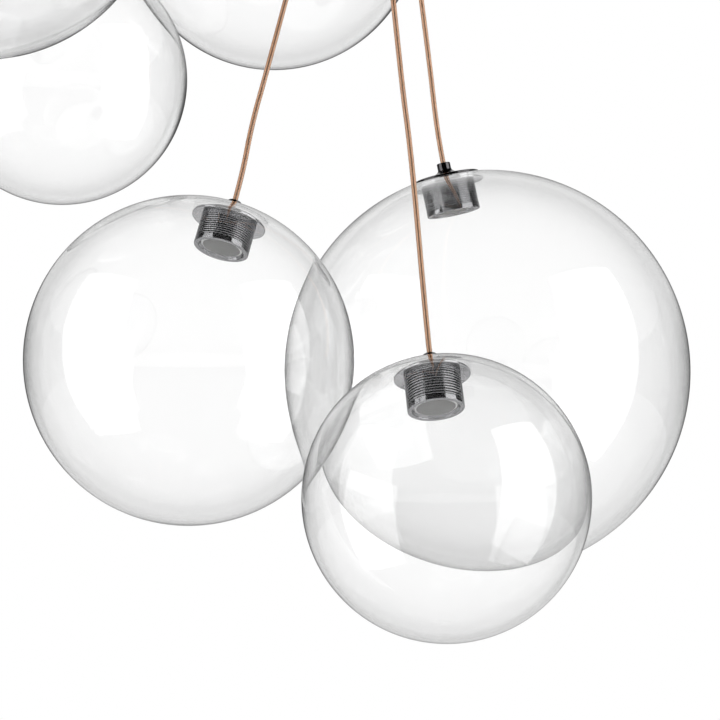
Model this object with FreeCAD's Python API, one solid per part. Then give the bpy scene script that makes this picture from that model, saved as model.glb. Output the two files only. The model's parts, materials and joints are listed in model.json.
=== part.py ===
"""Cluster pendant: six clear glass globes that hang in a bunch from one ceiling canopy.

Millimetres, +Z up. The origin is the centre of the canopy's back, on the ceiling, so the
whole lamp lies below zero. Each globe is held at its mouth between a turned cap outside and a
split clamp ring inside, on a ribbed heat sink that carries the LED board and the lens.
"""
import FreeCAD, Part
import math
import os

Vector = FreeCAD.Vector
UP = Vector(0, 0, 1)

# ---- glass globes ----
GLOBE_WALL = 2.2
MOUTH_RADIUS = 27.0
SEAT_RADIUS = 36.0       # flat ground round the mouth
GLOBE_GAP = 0.6          # between neighbours that lean together

# ---- fitting at a globe's mouth ----
CAP_RADIUS = 31.0
CAP_EDGE = 2.0
CAP_BEVEL = 0.6
CAP_RIM = 1.5            # flat top of the disc outside the flare
CAP_HOLLOW = 0.27        # how far the flare's middle stays in and down, as a share of its run
CAP_FLARE_HEIGHT = 8.0   # from the rim of the disc up to the straight nose
CAP_NOSE_RADIUS = 6.35
CAP_NOSE_HEIGHT = 4.7
NOSE_BORE_RADIUS = 4.4
NOSE_BORE_DEPTH = 5.0
LEAD_HOLE_RADIUS = 1.6
SEAL_THICKNESS = 0.8
SEAL_WIDTH = 2.8
CLAMP_RADIUS = 34.0
CLAMP_THICKNESS = 2.2
CLAMP_SLIT = 0.8         # between the two halves
NECK_RADIUS = 20.0
STEM_RADIUS = 5.0
STEM_LENGTH = 7.0
BARREL_RADIUS = 25.25
SHOULDER_HEIGHT = 1.5
RIB_COUNT = 10
RIB_CREST = 1.2
RIB_DEPTH = 1.3
BEZEL_HEIGHT = 5.0
BEZEL_BEVEL = 0.6
BEZEL_MOUTH_RADIUS = 21.0
LENS_RADIUS = 19.0
LENS_EDGE = 2.0
LENS_CROWN = 3.0
LENS_RECESS = 2.6
BOARD_RADIUS = 16.5
BOARD_THICKNESS = 1.6
EMITTER_RADIUS = 9.0
EMITTER_THICKNESS = 1.0
BOARD_ROOM = 7.0         # from the lens up to the roof of the LED chamber

# ---- cords ----
CORD_RADIUS = 2.5
CORD_LEAD = 26.0         # straight run out of a gland, and out of a nose

# ---- canopy ----
CANOPY_RADIUS = 90.0
CANOPY_HEIGHT = 40.0
CANOPY_WALL = 1.5
CANOPY_ROUND = 8.0
BRACKET_LENGTH = 130.0
BRACKET_WIDTH = 110.0
BRACKET_THICKNESS = 2.0
TAB_WIDTH = 26.0
TAB_DROP = 20.0
SLOT_SPACING = 100.0
SLOT_LENGTH = 18.0
SLOT_RADIUS = 2.6
MAINS_HOLE_RADIUS = 10.0
SCREW_RADIUS = 2.0
SCREW_HEAD_RADIUS = 4.0
SCREW_HEAD_HEIGHT = 2.4
SCREW_LENGTH = 9.0
SCREW_DROP = 12.0
DRIVER_SIZE = Vector(96.0, 30.0, 20.0)
DRIVER_CORNER = 3.0
DRIVER_INSET = 2.0       # from the bracket's edge
TERMINAL_SIZE = Vector(44.0, 16.0, 14.0)
TERMINAL_CORNER = 1.5
TERMINAL_OFFSET = 8.0    # from the mains hole's edge
TERMINAL_WAYS = 3
WIRE_HOLE_RADIUS = 3.2
WIRE_HOLE_DROP = 5.6
TERMINAL_SCREW_RADIUS = 3.7
TERMINAL_SCREW_DEPTH = 4.2
GLAND_BODY_RADIUS = 8.0
GLAND_TIP_RADIUS = 6.0
GLAND_DROP = 12.0
GLAND_THREAD_RADIUS = 5.0
GLAND_THREAD_LENGTH = 8.0
GLAND_NUT_RADIUS = 7.5
GLAND_NUT_HEIGHT = 3.0
GLAND_COLLAR = 2.0       # straight part of the body above its taper
BELL_DEPTH = 6.0
BELL_ANGLE = 16.0        # half angle of the flared mouth that the cord swings in

# ---- fits ----
FIT = 0.3                # round things in round holes
GRIP_FIT = 0.1           # what is pressed or screwed in

# ---- globes: diameter, rib pitch of the fitting, and the cord's exit from the canopy ----
DIAMETER = {
    "front": 250.0,
    "left": 293.0,
    "far": 379.0,
    "upper_rear": 287.0,
    "upper_side": 241.0,
    "upper_near": 327.0,
}
RIB_PITCH = {
    "front": 2.5,
    "left": 2.1,
    "far": 2.1,
    "upper_rear": 2.1,
    "upper_side": 2.1,
    "upper_near": 2.1,
}
CORD_EXIT = {
    "front": (-10.0, 8.0),
    "left": (38.0, 32.0),
    "far": (2.0, -24.0),
    "upper_rear": (-8.0, 56.0),
    "upper_side": (-60.0, 8.0),
    "upper_near": (-48.0, -18.0),
}
# Where a globe isn't touched by one placed before it, its centre; elsewhere the direction
# (azimuth, elevation in degrees) in which it leans on its neighbour.
FRONT_CENTRE = Vector(74.5, -170.0, -1011.0)
REAR_CENTRE = Vector(-84.5, 146.5, -385.0)
LEFT_FROM_FRONT = (163.4, 29.9)
FAR_SIDE = Vector(0.465, 0.80, 0.377)
SIDE_FROM_REAR = (188.6, -39.4)
NEAR_FROM_SIDE = (257.9, 23.6)
# How far a fitting leans from upright, and towards which azimuth. The others point at their exit.
LEAN = {
    "front": (12.5, 117.5),
    "left": (16.6, 30.5),
    "far": (14.3, 213.0),
    "upper_side": (20.0, -50.0),
}
# The cords' own slight bends between their two straight ends.
CORD_BENDS = {
    "front": [Vector(36.5, -95.0, -612.0), Vector(45.5, -109.0, -684.0)],
    "left": [Vector(-86.0, -53.0, -598.0), Vector(-98.0, -61.0, -645.0)],
    "far": [Vector(64.0, 50.0, -540.0)],
    "upper_rear": [Vector(-27.0, 79.0, -143.0)],
    "upper_side": [Vector(-158.0, 38.0, -238.0)],
    "upper_near": [Vector(-134.0, -53.0, -182.0)],
}


def polar(azimuth, elevation):
    """Unit vector towards an azimuth and an elevation in degrees."""
    a = math.radians(azimuth)
    e = math.radians(elevation)
    return Vector(math.cos(a) * math.cos(e), math.sin(a) * math.cos(e), math.sin(e))


def reach(first, second):
    """Distance between the centres of two globes that lean together."""
    return DIAMETER[first] / 2 + DIAMETER[second] / 2 + GLOBE_GAP


def leaning_on_two(first, first_reach, second, second_reach, side):
    """Centre at both reaches from two other centres, on the given side of them."""
    line = second - first
    span = line.Length
    unit = line / span
    along = (span ** 2 + first_reach ** 2 - second_reach ** 2) / (2 * span)
    out = math.sqrt(first_reach ** 2 - along ** 2)
    across = side - unit * side.dot(unit)
    return first + unit * along + across / across.Length * out


def globe_centres():
    """Where each globe's centre hangs."""
    front = FRONT_CENTRE
    left = front + polar(*LEFT_FROM_FRONT) * reach("front", "left")
    far = leaning_on_two(front, reach("front", "far"), left, reach("left", "far"), FAR_SIDE)
    rear = REAR_CENTRE
    side = rear + polar(*SIDE_FROM_REAR) * reach("upper_rear", "upper_side")
    near = side + polar(*NEAR_FROM_SIDE) * reach("upper_side", "upper_near")
    return {
        "front": front,
        "left": left,
        "far": far,
        "upper_rear": rear,
        "upper_side": side,
        "upper_near": near,
    }


def turned(steps):
    """Solid of revolution about Z. A step is a point (r, z), or (mid, end) for an arc."""
    edges = []
    last = Vector(steps[0][0], 0, steps[0][1])
    first = last
    for step in steps[1:] + [steps[0]]:
        if isinstance(step[0], tuple):
            mid = Vector(step[0][0], 0, step[0][1])
            end = Vector(step[1][0], 0, step[1][1])
            edges.append(Part.Arc(last, mid, end).toShape())
        else:
            end = Vector(step[0], 0, step[1])
            if (end - last).Length < 1e-6:
                continue
            edges.append(Part.LineSegment(last, end).toShape())
        last = end
    assert (last - first).Length < 1e-6
    face = Part.Face(Part.Wire(edges))
    solid = face.revolve(Vector(0, 0, 0), UP, 360)
    return Part.Solid(solid) if solid.ShapeType == "Shell" else solid


def disc(radius, low, high, hole=0.0):
    """Flat round plate between two heights, with a hole when one is given."""
    plate = Part.makeCylinder(radius, high - low, Vector(0, 0, low))
    if hole:
        plate = plate.cut(Part.makeCylinder(hole, high - low, Vector(0, 0, low)))
    return plate


def height_on(ball_radius, radius):
    """Height at which a ball about the origin has the given radius round Z."""
    return math.sqrt(ball_radius ** 2 - radius ** 2)


class Levels:
    """Heights of a fitting above its globe's centre, along the globe's own axis."""

    def __init__(self, diameter, rib_pitch):
        self.outer = diameter / 2
        self.inner = self.outer - GLOBE_WALL
        self.rim = height_on(self.outer, SEAT_RADIUS)
        self.seat = self.rim - GLOBE_WALL
        self.cap = self.rim + SEAL_THICKNESS
        self.disc_top = self.cap + CAP_EDGE
        self.nose_root = self.disc_top + CAP_FLARE_HEIGHT
        self.nose_top = self.nose_root + CAP_NOSE_HEIGHT
        self.cord_end = self.nose_top - NOSE_BORE_DEPTH
        self.clamp_top = self.seat - SEAL_THICKNESS
        self.shoulder = self.clamp_top - CLAMP_THICKNESS
        self.ribs_top = self.shoulder - SHOULDER_HEIGHT
        self.rib_pitch = rib_pitch
        self.ribs_bottom = self.ribs_top - RIB_COUNT * rib_pitch
        self.bottom = self.ribs_bottom - BEZEL_HEIGHT
        self.lens_bottom = self.bottom + LENS_RECESS
        self.lens_top = self.lens_bottom + LENS_EDGE
        self.roof = self.lens_top + BOARD_ROOM


def glass_globe(at):
    """Blown ball with a round mouth at the top and a flat seat round it."""
    return turned([
        (0, -at.outer),
        ((at.outer, 0), (SEAT_RADIUS, at.rim)),
        (MOUTH_RADIUS, at.rim),
        (MOUTH_RADIUS, at.seat),
        (height_on(at.inner, at.seat), at.seat),
        ((at.inner, 0), (0, -at.inner)),
    ])


def cap(at):
    """Flared cap: thin disc, hollow curve up to a straight nose, stem hole underneath."""
    shoulder = CAP_RADIUS - CAP_RIM
    middle = CAP_NOSE_RADIUS + (shoulder - CAP_NOSE_RADIUS) * CAP_HOLLOW
    middle_height = at.disc_top + CAP_FLARE_HEIGHT * CAP_HOLLOW
    return turned([
        (STEM_RADIUS + FIT, at.cap),
        (CAP_RADIUS, at.cap),
        (CAP_RADIUS, at.disc_top - CAP_BEVEL),
        (shoulder, at.disc_top),
        ((middle, middle_height), (CAP_NOSE_RADIUS, at.nose_root)),
        (CAP_NOSE_RADIUS, at.nose_top - CAP_BEVEL),
        (CAP_NOSE_RADIUS - CAP_BEVEL, at.nose_top),
        (NOSE_BORE_RADIUS, at.nose_top),
        (NOSE_BORE_RADIUS, at.cord_end),
        (LEAD_HOLE_RADIUS, at.cord_end),
        (LEAD_HOLE_RADIUS, at.cap + STEM_LENGTH + FIT),
        (STEM_RADIUS + FIT, at.cap + STEM_LENGTH + FIT),
    ])


def cord_grip(at):
    """Split ring in the nose that grips the cord."""
    return disc(NOSE_BORE_RADIUS - GRIP_FIT, at.cord_end, at.nose_top, CORD_RADIUS + FIT)


def seals(at):
    """Flat silicone rings above and below the glass."""
    hole = MOUTH_RADIUS + FIT
    upper = disc(hole + SEAL_WIDTH, at.rim, at.cap, hole)
    lower = disc(hole + SEAL_WIDTH, at.clamp_top, at.seat, hole)
    return Part.makeCompound([upper, lower])


def clamp_ring(at):
    """Flat ring in two halves, so that it goes in through the mouth."""
    ring = disc(CLAMP_RADIUS, at.shoulder, at.clamp_top, NECK_RADIUS + FIT)
    slit = Part.makeBox(
        3 * CLAMP_RADIUS, CLAMP_SLIT, 2 * CLAMP_THICKNESS,
        Vector(-1.5 * CLAMP_RADIUS, -CLAMP_SLIT / 2, at.shoulder - CLAMP_THICKNESS / 2),
    )
    return Part.makeCompound(ring.cut(slit).Solids)


def heat_sink(at):
    """Ribbed barrel with its neck through the glass, hollow below for the LEDs."""
    slope = (at.rib_pitch - RIB_CREST) / 2
    steps = [
        (LEAD_HOLE_RADIUS, at.roof),
        (BOARD_RADIUS + FIT, at.roof),
        (BOARD_RADIUS + FIT, at.lens_top),
        (LENS_RADIUS + FIT, at.lens_top),
        (LENS_RADIUS + FIT, at.lens_bottom),
        (BEZEL_MOUTH_RADIUS, at.bottom + BEZEL_BEVEL),
        (BEZEL_MOUTH_RADIUS + BEZEL_BEVEL, at.bottom),
        (BARREL_RADIUS - BEZEL_BEVEL, at.bottom),
        (BARREL_RADIUS, at.bottom + BEZEL_BEVEL),
        (BARREL_RADIUS, at.ribs_bottom),
    ]
    for rib in range(RIB_COUNT):
        low = at.ribs_bottom + rib * at.rib_pitch
        steps.append((BARREL_RADIUS - RIB_DEPTH, low + slope))
        steps.append((BARREL_RADIUS, low + 2 * slope))
        steps.append((BARREL_RADIUS, low + at.rib_pitch))
    steps += [
        (BARREL_RADIUS, at.shoulder),
        (NECK_RADIUS, at.shoulder),
        (NECK_RADIUS, at.cap),
        (STEM_RADIUS, at.cap),
        (STEM_RADIUS, at.cap + STEM_LENGTH),
        (LEAD_HOLE_RADIUS, at.cap + STEM_LENGTH),
    ]
    return turned(steps)


def led_board(at):
    """Round board under the chamber's roof, with one round emitter."""
    board_low = at.roof - BOARD_THICKNESS
    board = disc(BOARD_RADIUS, board_low, at.roof)
    emitter = disc(EMITTER_RADIUS, board_low - EMITTER_THICKNESS, board_low)
    return Part.makeCompound([board, emitter])


def lens(at):
    """Frosted lens with a crowned face."""
    crown = at.lens_bottom - LENS_CROWN
    bulge = (LENS_CROWN ** 2 + LENS_RADIUS ** 2) / (2 * LENS_CROWN)
    half = LENS_RADIUS / 2
    mid = crown + bulge - math.sqrt(bulge ** 2 - half ** 2)
    return turned([
        (0, crown),
        ((half, mid), (LENS_RADIUS, at.lens_bottom)),
        (LENS_RADIUS, at.lens_top),
        (0, at.lens_top),
    ])


def throat(name):
    """Point where a cord leaves its gland."""
    x, y = CORD_EXIT[name]
    return Vector(x, y, -CANOPY_HEIGHT - GLAND_DROP + BELL_DEPTH)


def axis_of(name, centre):
    """Direction from a globe's centre to its fitting."""
    if name in LEAN:
        lean, azimuth = LEAN[name]
        return polar(azimuth, 90 - lean)
    line = throat(name) - UP * CORD_LEAD - centre
    return line / line.Length


def cord_route(name, centre, axis, at):
    """Points of a cord from its gland's throat to the bottom of the nose's bore."""
    start = throat(name)
    end = centre + axis * at.cord_end
    above = centre + axis * (at.nose_top + CORD_LEAD)
    return [start, start - UP * CORD_LEAD] + CORD_BENDS[name] + [above, end]


def tube(name, points, radius):
    """Round tube along straight runs joined by arcs as large as the runs allow."""
    edges = []
    radii = []
    length = 0.0
    last = points[0]
    for before, corner, after in zip(points, points[1:], points[2:]):
        run_in = corner - before
        run_out = after - corner
        turn = run_in.getAngle(run_out)
        trim = 0.45 * min(run_in.Length, run_out.Length)
        bend = trim / math.tan(turn / 2)
        radii.append(round(bend, 1))
        toward = run_in / run_in.Length
        away = run_out / run_out.Length
        arc_start = corner - toward * trim
        arc_end = corner + away * trim
        inward = (away - toward) / (away - toward).Length
        mid = corner + inward * (bend / math.cos(turn / 2) - bend)
        edges.append(Part.LineSegment(last, arc_start).toShape())
        edges.append(Part.Arc(arc_start, mid, arc_end).toShape())
        length += (arc_start - last).Length + bend * turn
        last = arc_end
    edges.append(Part.LineSegment(last, points[-1]).toShape())
    length += (points[-1] - last).Length
    path = Part.Wire(edges)
    ring = Part.Wire(Part.makeCircle(radius, points[0], points[1] - points[0]))
    solid = path.makePipeShell([ring], True, False)
    share = solid.Volume / (math.pi * radius ** 2 * length)
    print(f"{name}: {length:.1f} mm, arc radii {radii}, volume / (section x length) {share:.5f}")
    return solid


def pendant(name, centre):
    """All the pieces of one hanging globe, in place."""
    at = Levels(DIAMETER[name], RIB_PITCH[name])
    axis = axis_of(name, centre)
    pieces = {
        "glass_globe": glass_globe(at),
        "cap": cap(at),
        "cord_grip": cord_grip(at),
        "seals": seals(at),
        "clamp_ring": clamp_ring(at),
        "heat_sink": heat_sink(at),
        "led_board": led_board(at),
        "lens": lens(at),
    }
    place = FreeCAD.Placement(centre, FreeCAD.Rotation(UP, axis))
    placed = {f"{name}_{kind}": piece.transformed(place.toMatrix()) for kind, piece in pieces.items()}
    route = cord_route(name, centre, axis, at)
    placed[f"{name}_cord"] = tube(f"{name}_cord", route, CORD_RADIUS)
    print(f"{name}: centre {centre}, axis {axis}, nose {centre + axis * at.nose_top}")
    return placed


def canopy_cover():
    """Turned cover with a rounded lower edge and a hole for each gland."""
    bottom = -CANOPY_HEIGHT
    inner = CANOPY_RADIUS - CANOPY_WALL
    round_in = CANOPY_ROUND - CANOPY_WALL
    diagonal = math.sqrt(0.5)
    corner = CANOPY_RADIUS - CANOPY_ROUND
    outer_mid = (corner + CANOPY_ROUND * diagonal, bottom + CANOPY_ROUND * (1 - diagonal))
    inner_mid = (corner + round_in * diagonal, bottom + CANOPY_ROUND - round_in * diagonal)
    cover = turned([
        (0, bottom),
        (corner, bottom),
        (outer_mid, (CANOPY_RADIUS, bottom + CANOPY_ROUND)),
        (CANOPY_RADIUS, 0),
        (inner, 0),
        (inner, bottom + CANOPY_ROUND),
        (inner_mid, (corner, bottom + CANOPY_WALL)),
        (0, bottom + CANOPY_WALL),
    ])
    for x, y in CORD_EXIT.values():
        low = Vector(x, y, bottom - CANOPY_WALL)
        cover = cover.cut(Part.makeCylinder(GLAND_THREAD_RADIUS + FIT, 3 * CANOPY_WALL, low))
    for side in (-1, 1):
        start = Vector(side * (inner - CANOPY_WALL), 0, -SCREW_DROP)
        hole = Part.makeCylinder(SCREW_RADIUS + FIT, 4 * CANOPY_WALL, start, Vector(side, 0, 0))
        cover = cover.cut(hole)
    return cover


def ceiling_bracket():
    """Plate against the ceiling with two bent tabs that the cover is screwed to."""
    half = CANOPY_RADIUS - CANOPY_WALL - FIT
    plate = Part.makeBox(
        BRACKET_LENGTH, BRACKET_WIDTH, BRACKET_THICKNESS,
        Vector(-BRACKET_LENGTH / 2, -BRACKET_WIDTH / 2, -BRACKET_THICKNESS),
    )
    arms = Part.makeBox(
        2 * half, TAB_WIDTH, BRACKET_THICKNESS, Vector(-half, -TAB_WIDTH / 2, -BRACKET_THICKNESS),
    )
    plate = plate.fuse(arms)
    for side in (-1, 1):
        x = half - BRACKET_THICKNESS if side > 0 else -half
        corner = Vector(x, -TAB_WIDTH / 2, -TAB_DROP)
        plate = plate.fuse(Part.makeBox(BRACKET_THICKNESS, TAB_WIDTH, TAB_DROP, corner))
    plate = plate.common(Part.makeCylinder(half, TAB_DROP, Vector(0, 0, -TAB_DROP)))
    for side in (-1, 1):
        start = Vector(side * (half - 3 * BRACKET_THICKNESS), 0, -SCREW_DROP)
        hole = Part.makeCylinder(SCREW_RADIUS + GRIP_FIT, 5 * BRACKET_THICKNESS, start, Vector(side, 0, 0))
        plate = plate.cut(hole)
        plate = plate.cut(slot(Vector(side * SLOT_SPACING / 2, 0, 0)))
    low = Vector(0, 0, -2 * BRACKET_THICKNESS)
    entry = Part.makeCylinder(MAINS_HOLE_RADIUS, 3 * BRACKET_THICKNESS, low)
    return plate.cut(entry).removeSplitter()


def slot(centre):
    """Cutter for a screw slot that runs along X through the bracket."""
    depth = 3 * BRACKET_THICKNESS
    low = centre - UP * (2 * BRACKET_THICKNESS)
    straight = SLOT_LENGTH - 2 * SLOT_RADIUS
    cutter = Part.makeBox(straight, 2 * SLOT_RADIUS, depth, low - Vector(straight / 2, SLOT_RADIUS, 0))
    for side in (-1, 1):
        end = low + Vector(side * straight / 2, 0, 0)
        cutter = cutter.fuse(Part.makeCylinder(SLOT_RADIUS, depth, end))
    return cutter


def cover_screws():
    """Two round-headed screws through the cover's side into the bracket's tabs."""
    screws = []
    for side in (-1, 1):
        out = Vector(side, 0, 0)
        face = Vector(side * CANOPY_RADIUS, 0, -SCREW_DROP)
        head = Part.makeCylinder(SCREW_HEAD_RADIUS, SCREW_HEAD_HEIGHT, face, out)
        middle = CANOPY_RADIUS + SCREW_HEAD_HEIGHT / 2
        round_edges = [edge for edge in head.Edges if len(edge.Vertexes) == 1]
        rim = [edge for edge in round_edges if abs(edge.CenterOfMass.x) > middle]
        head = head.makeFillet(SCREW_HEAD_HEIGHT / 2, rim)
        shank = Part.makeCylinder(SCREW_RADIUS, SCREW_LENGTH, face - out * SCREW_LENGTH, out)
        screws.append(head.fuse(shank))
    return Part.makeCompound(screws)


def rounded_box(size, corner, radius):
    """Box with its four upright edges rounded."""
    box = Part.makeBox(size.x, size.y, size.z, corner)
    upright = []
    for edge in box.Edges:
        low, high = edge.Vertexes
        if abs(low.Z - high.Z) > size.z / 2:
            upright.append(edge)
    return box.makeFillet(radius, upright)


def led_driver():
    """Power supply fixed under the bracket, beside the ceiling slots."""
    top = -BRACKET_THICKNESS
    corner = Vector(-DRIVER_SIZE.x / 2, -BRACKET_WIDTH / 2 + DRIVER_INSET, top - DRIVER_SIZE.z)
    return rounded_box(DRIVER_SIZE, corner, DRIVER_CORNER)


def terminal_block():
    """Screw terminals for the mains wires, with a funnel for each wire."""
    top = -BRACKET_THICKNESS
    corner = Vector(-TERMINAL_SIZE.x / 2, MAINS_HOLE_RADIUS + TERMINAL_OFFSET, top - TERMINAL_SIZE.z)
    block = rounded_box(TERMINAL_SIZE, corner, TERMINAL_CORNER)
    pitch = TERMINAL_SIZE.x / TERMINAL_WAYS
    for way in range(TERMINAL_WAYS):
        x = corner.x + pitch * (way + 0.5)
        entry = Vector(x, corner.y, top - WIRE_HOLE_DROP)
        wire = Part.makeCylinder(WIRE_HOLE_RADIUS, TERMINAL_SIZE.y, entry, Vector(0, 1, 0))
        under = Vector(x, corner.y + TERMINAL_SIZE.y / 2, corner.z)
        screw = Part.makeCylinder(TERMINAL_SCREW_RADIUS, TERMINAL_SCREW_DEPTH, under)
        block = block.cut(wire).cut(screw)
    return block


def cord_glands():
    """Glands that hold the cords, each with a flared mouth and a nut inside the canopy."""
    bottom = -CANOPY_HEIGHT
    tip = bottom - GLAND_DROP
    neck = tip + BELL_DEPTH
    bore = CORD_RADIUS + FIT
    bell = bore + BELL_DEPTH * math.tan(math.radians(BELL_ANGLE))
    top = bottom + CANOPY_WALL + GLAND_THREAD_LENGTH
    body = turned([
        (bell, tip),
        (GLAND_TIP_RADIUS, tip),
        (GLAND_BODY_RADIUS, bottom - GLAND_COLLAR),
        (GLAND_BODY_RADIUS, bottom),
        (GLAND_THREAD_RADIUS, bottom),
        (GLAND_THREAD_RADIUS, top),
        (bore, top),
        (bore, neck),
    ])
    nut_low = bottom + CANOPY_WALL
    corners = [polar(60 * i, 0) * GLAND_NUT_RADIUS + UP * nut_low for i in range(7)]
    nut = Part.Face(Part.makePolygon(corners)).extrude(UP * GLAND_NUT_HEIGHT)
    thread = Part.makeCylinder(GLAND_THREAD_RADIUS + GRIP_FIT, GLAND_NUT_HEIGHT, Vector(0, 0, nut_low))
    nut = nut.cut(thread)
    pieces = []
    for x, y in CORD_EXIT.values():
        for piece in (body, nut):
            pieces.append(piece.translated(Vector(x, y, 0)))
    return Part.makeCompound(pieces)


def main():
    """Build every piece and write one file for each."""
    os.makedirs("parts", exist_ok=True)
    pieces = {
        "canopy_cover": canopy_cover(),
        "ceiling_bracket": ceiling_bracket(),
        "cover_screws": cover_screws(),
        "led_driver": led_driver(),
        "terminal_block": terminal_block(),
        "cord_glands": cord_glands(),
    }
    for name, centre in globe_centres().items():
        pieces.update(pendant(name, centre))
    for name, piece in pieces.items():
        assert piece.isValid(), name
        piece.exportStep(f"parts/{name}.step")
    print(f"{len(pieces)} nodes")


main()
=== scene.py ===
"""Cluster pendant: clear blown glass globes on copper cords, hung from one canopy.

Metres, +Z up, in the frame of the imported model: the origin is the centre of the canopy's back,
on the ceiling, and +Y points away from the photograph's camera.
"""

import json
import logging
import math
from dataclasses import dataclass, field
from enum import Enum
from typing import Iterable, Sequence

import bmesh
import bpy
from mathutils import Matrix, Vector, noise

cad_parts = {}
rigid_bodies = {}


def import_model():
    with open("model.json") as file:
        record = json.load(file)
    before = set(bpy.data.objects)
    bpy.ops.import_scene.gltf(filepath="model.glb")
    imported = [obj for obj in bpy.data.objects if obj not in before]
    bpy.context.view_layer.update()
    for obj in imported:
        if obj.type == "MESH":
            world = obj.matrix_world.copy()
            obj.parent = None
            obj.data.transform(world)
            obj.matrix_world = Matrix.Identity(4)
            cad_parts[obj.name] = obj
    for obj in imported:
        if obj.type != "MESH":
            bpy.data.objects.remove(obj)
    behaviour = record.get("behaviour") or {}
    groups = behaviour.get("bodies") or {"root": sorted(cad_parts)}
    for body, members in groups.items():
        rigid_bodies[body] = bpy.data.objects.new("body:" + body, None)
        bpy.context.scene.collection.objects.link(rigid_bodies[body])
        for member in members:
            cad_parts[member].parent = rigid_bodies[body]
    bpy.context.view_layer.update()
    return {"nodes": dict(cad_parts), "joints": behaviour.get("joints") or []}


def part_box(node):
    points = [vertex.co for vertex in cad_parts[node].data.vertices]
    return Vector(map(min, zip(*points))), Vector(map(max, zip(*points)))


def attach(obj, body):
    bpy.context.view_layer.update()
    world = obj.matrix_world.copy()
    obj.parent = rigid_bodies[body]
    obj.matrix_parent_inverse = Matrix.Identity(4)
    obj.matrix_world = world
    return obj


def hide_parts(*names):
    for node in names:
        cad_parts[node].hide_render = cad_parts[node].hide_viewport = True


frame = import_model()
LOG = logging.getLogger("cluster_pendant")

MM = 0.001
CRISP_ANGLE = 35.0
Point = tuple[float, float]
Triple = tuple[float, float, float]
Socket = bpy.types.NodeSocket


# ------------------------------------------------------------------ node helpers


class Tree:
    """Adds nodes to a node tree and links them."""

    def __init__(self, tree: bpy.types.NodeTree) -> None:
        """Start from an empty tree.

        Args:
            tree: The tree to fill.
        """
        self.tree = tree
        self.tree.nodes.clear()

    def add(self, kind: str, **settings: object) -> bpy.types.Node:
        """Add a node.

        Args:
            kind: The node's type name in Blender.
            settings: Attributes to set on it.

        Returns:
            The new node.
        """
        node = self.tree.nodes.new(kind)
        for name, value in settings.items():
            setattr(node, name, value)
        return node

    def link(self, source: Socket, target: Socket) -> None:
        """Join an output to an input.

        Args:
            source: The output.
            target: The input.
        """
        self.tree.links.new(source, target)

    def math(self, operation: str, *values: object) -> Socket:
        """Add a Math node.

        Args:
            operation: What it works out.
            values: Numbers, or sockets to link.

        Returns:
            Its output.
        """
        node = self.add("ShaderNodeMath", operation=operation)
        self._feed(node, values)
        return node.outputs[0]

    def vector(self, operation: str, *values: object) -> bpy.types.Node:
        """Add a Vector Math node.

        Args:
            operation: What it works out.
            values: Vectors, or sockets to link.

        Returns:
            The node.
        """
        node = self.add("ShaderNodeVectorMath", operation=operation)
        self._feed(node, values)
        return node

    def _feed(self, node: bpy.types.Node, values: Iterable[object]) -> None:
        """Set or link a node's inputs in order.

        Args:
            node: The node.
            values: Numbers or vectors to set, or sockets to link.
        """
        for socket, value in zip(node.inputs, values):
            if isinstance(value, Socket):
                self.link(value, socket)
            else:
                socket.default_value = value

    def span(self, value: Socket, source: Point, target: Point) -> Socket:
        """Map a value smoothly from one span to another, clamped at both ends.

        Args:
            value: What is mapped.
            source: Its span.
            target: The span that it is mapped to.

        Returns:
            The mapped value.
        """
        node = self.add("ShaderNodeMapRange", interpolation_type="SMOOTHSTEP", clamp=True)
        self._feed(node, (value, *source, *target))
        return node.outputs[0]

    def ramp(self, factor: Socket, stops: Sequence[Point]) -> Socket:
        """Map a factor through grey stops.

        Args:
            factor: What is mapped.
            stops: Pairs of place and grey level, in order.

        Returns:
            The mapped colour.
        """
        node = self.add("ShaderNodeValToRGB")
        elements = node.color_ramp.elements
        while len(elements) < len(stops):
            elements.new(0.5)
        for element, (place, level) in zip(elements, stops):
            element.position = place
            element.color = (level, level, level, 1.0)
        self.link(factor, node.inputs[0])
        return node.outputs[0]

    def place(self, kind: str) -> Socket:
        """Add a Texture Coordinate node.

        Args:
            kind: The name of the output that is wanted.

        Returns:
            That output.
        """
        return self.add("ShaderNodeTexCoord").outputs[kind]

    def split(self, vector: Socket) -> bpy.types.Node:
        """Split a vector.

        Args:
            vector: What is split.

        Returns:
            The node, with outputs X, Y and Z.
        """
        node = self.add("ShaderNodeSeparateXYZ")
        self.link(vector, node.inputs[0])
        return node

    def noise(self, where: Socket, scale: float, **inputs: float) -> Socket:
        """Add a Noise Texture.

        Args:
            where: Where it is read.
            scale: How fine it is.
            inputs: Its other inputs by name.

        Returns:
            Its grey output.
        """
        node = self.add("ShaderNodeTexNoise")
        for name, value in {"Scale": scale, **inputs}.items():
            node.inputs[name].default_value = value
        self.link(where, node.inputs["Vector"])
        return node.outputs["Fac"]

    def blend(self, factor: Socket, first: Triple, second: Triple) -> Socket:
        """Blend two colours.

        Args:
            factor: 0 for all of the first, 1 for all of the second.
            first: The first colour.
            second: The second colour.

        Returns:
            The blended colour.
        """
        node = self.add("ShaderNodeMix", data_type="RGBA")
        node.inputs["A"].default_value = (*first, 1.0)
        node.inputs["B"].default_value = (*second, 1.0)
        self.link(factor, node.inputs["Factor"])
        return node.outputs["Result"]

    def relief(self, height: Socket, strength: float, distance: float) -> Socket:
        """Turn a height into a bumped normal.

        Args:
            height: The height.
            strength: How much of it shows.
            distance: How high a height of 1 stands, in metres.

        Returns:
            The normal.
        """
        node = self.add("ShaderNodeBump")
        node.inputs["Strength"].default_value = strength
        node.inputs["Distance"].default_value = distance
        self.link(height, node.inputs["Height"])
        return node.outputs[0]


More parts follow.
